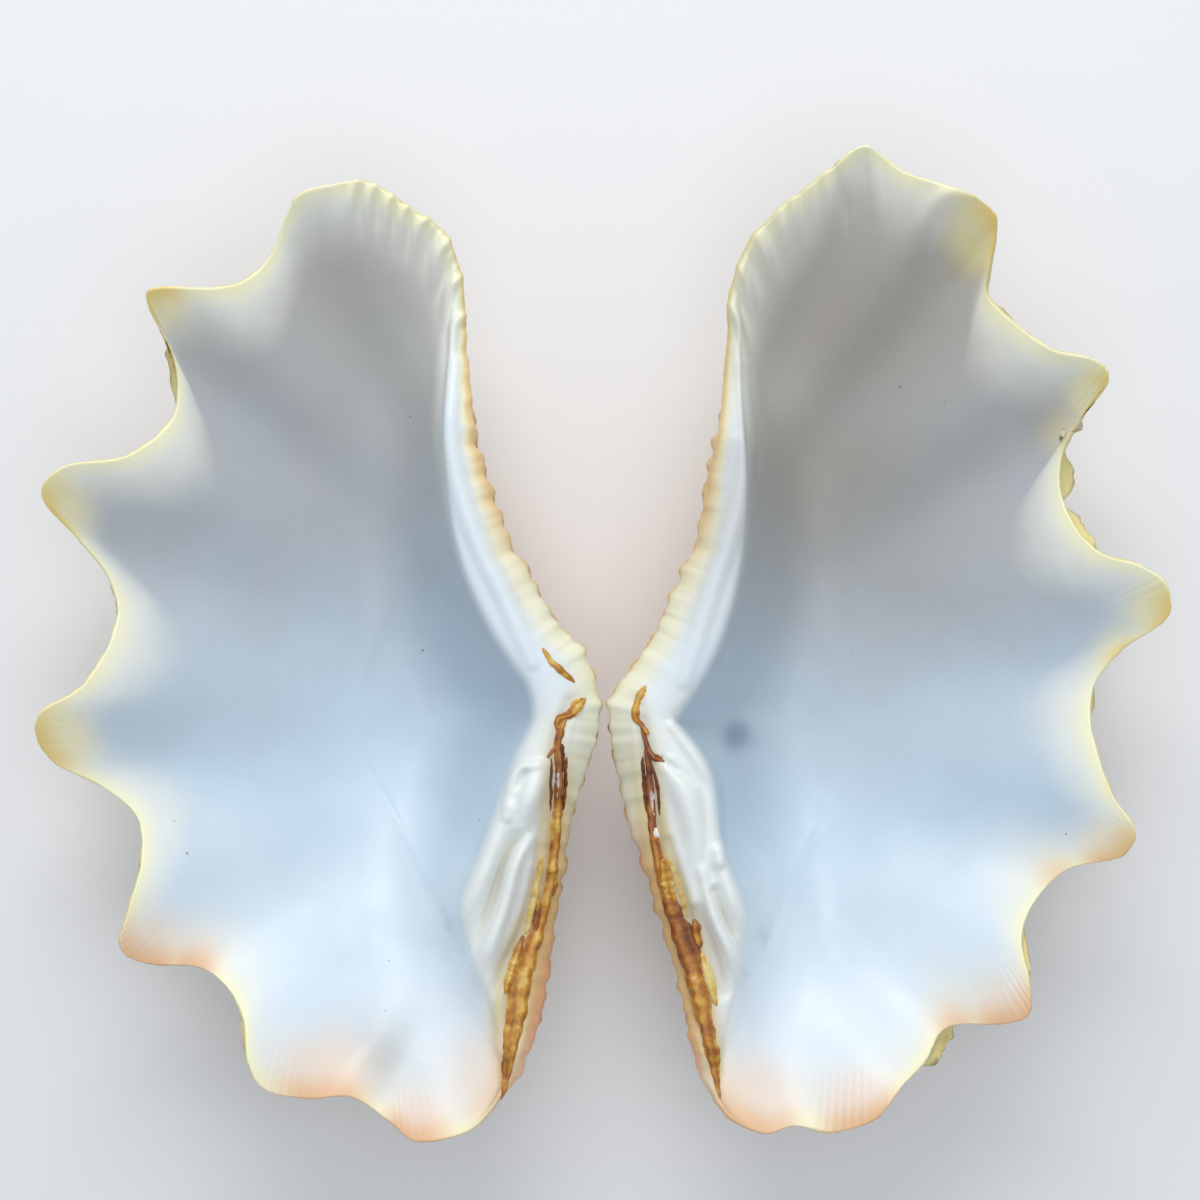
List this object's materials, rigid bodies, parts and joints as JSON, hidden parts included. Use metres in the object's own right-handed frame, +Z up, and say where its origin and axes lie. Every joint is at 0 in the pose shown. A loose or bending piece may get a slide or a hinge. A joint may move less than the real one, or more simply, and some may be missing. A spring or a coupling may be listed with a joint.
{
  "type": "giant clam shell",
  "caption": "Open giant clam shell: both valves lie on their backs, hinge to hinge, with lobed wavy margins, white hollows and dried ligament. Decoration or a dish.",
  "frame": {"origin": "on the table under the middle of the pair", "axes": "+X towards the right valve, +Y towards the byssal (front) end of both valves, +Z up, out of the hollows"},
  "size_m": [0.2256, 0.1984, 0.053],
  "materials": {
    "shell": "smooth porcelain-like inside, chalky and scaly outside, with yellow and orange edges",
    "ligament": "dried, cracked, amber to dark brown"
  },
  "bodies": {
    "root": {"valve_left": "shell", "valve_right": "shell", "ligament_left": "ligament", "ligament_right": "ligament"}
  },
  "joints": []
}
